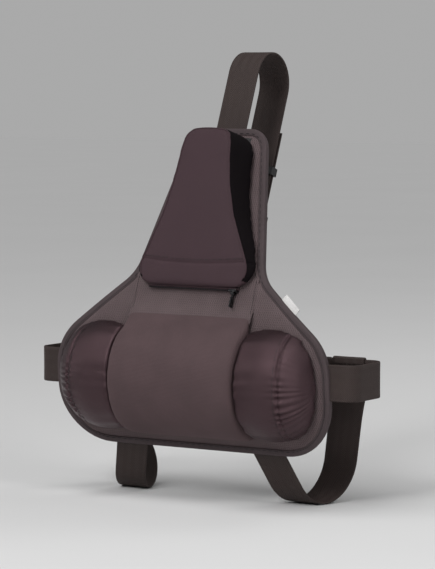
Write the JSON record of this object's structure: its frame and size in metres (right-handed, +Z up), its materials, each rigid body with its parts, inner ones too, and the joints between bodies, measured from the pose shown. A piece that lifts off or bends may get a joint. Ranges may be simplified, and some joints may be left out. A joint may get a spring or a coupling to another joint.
{
  "type": "strap-on chair back support",
  "caption": "Strap-on back support for a seat back: bound mesh panel, three-part lumbar roll, movable mid-back pad, and webbing with a side-release buckle.",
  "frame": {"origin": "on the panel's rear face where it meets the seat back, at the middle of its width and of its lumbar arc", "axes": "+X to the right seen from the front, +Y back into the seat back, +Z up"},
  "size_m": [0.4002, 0.2206, 0.4777],
  "materials": {
    "panel_mesh": "matt mesh",
    "binding_tape": "ribbed tape",
    "label_cloth": "smooth",
    "loop_cloth": "brushed",
    "sleeve_mesh": "matt mesh",
    "satin_cloth": "satin",
    "pad_cloth": "soft sheen",
    "foam": "open-cell",
    "hook_tape": "hooked",
    "zip_nylon": "satin",
    "zip_metal": "satin",
    "webbing": "woven",
    "fitting_plastic": "satin"
  },
  "bodies": {
    "harness": {"back_panel": "panel_mesh", "panel_binding": "binding_tape", "side_label": "label_cloth", "loop_field": "loop_cloth", "centre_sleeve": "sleeve_mesh", "centre_foam": "foam", "right_wing_cover": "satin_cloth", "right_wing_foam": "foam", "left_wing_cover": "satin_cloth", "left_wing_foam": "foam", "top_strap": "webbing", "right_side_strap": "webbing", "left_side_strap": "webbing", "right_lower_strap": "webbing", "left_lower_strap": "webbing", "anchor_strap": "webbing", "ladder_lock": "fitting_plastic", "buckle_socket": "fitting_plastic", "buckle_plug": "fitting_plastic"},
    "pad": {"pad_cover": "pad_cloth", "pad_foam": "foam", "pad_hook_left": "hook_tape", "pad_hook_right": "hook_tape", "zip_chain": "zip_nylon"},
    "zip_slider": {"zip_slider": "zip_metal"},
    "zip_pull": {"zip_pull": "zip_metal"},
    "upper_latch_arm": {"latch_arm_upper": "fitting_plastic"},
    "lower_latch_arm": {"latch_arm_lower": "fitting_plastic"},
    "side_keeper": {"side_keeper": "fitting_plastic"},
    "top_keeper": {"top_keeper": "fitting_plastic"}
  },
  "joints": [
    {"name": "pad_height", "type": "slide", "parent": "harness", "child": "pad", "axis": [0, 0.3746, 0.9272], "range_m": [0, 0.025]},
    {"name": "zip_run", "type": "slide", "parent": "pad", "child": "zip_slider", "axis": [-1, 0, 0], "range_m": [0, 0.1024]},
    {"name": "pull_swing", "type": "hinge", "parent": "zip_slider", "child": "zip_pull", "pos_m": [0.0512, 0.00176, 0.07669], "axis": [0, -0.9272, 0.3746], "range_deg": [-75, 75]},
    {"name": "upper_latch_press", "type": "hinge", "parent": "harness", "child": "upper_latch_arm", "pos_m": [0.07676, 0.06705, 0.0094], "axis": [0, 1, 0], "range_deg": [0, 18], "stiffness_Nm_per_rad": 0.2},
    {"name": "lower_latch_press", "type": "hinge", "parent": "harness", "child": "lower_latch_arm", "pos_m": [0.07676, 0.06705, -0.0294], "axis": [0, -1, 0], "range_deg": [0, 18], "stiffness_Nm_per_rad": 0.2},
    {"name": "side_keeper_slide", "type": "slide", "parent": "harness", "child": "side_keeper", "axis": [1, 0, 0], "range_m": [-0.03, 0.04]},
    {"name": "top_keeper_slide", "type": "slide", "parent": "harness", "child": "top_keeper", "axis": [0, 0.3746, 0.9272], "range_m": [-0.045, 0.035]}
  ],
  "couplings": [
    {"joint": "lower_latch_press", "follows": "upper_latch_press", "ratio": 1}
  ]
}
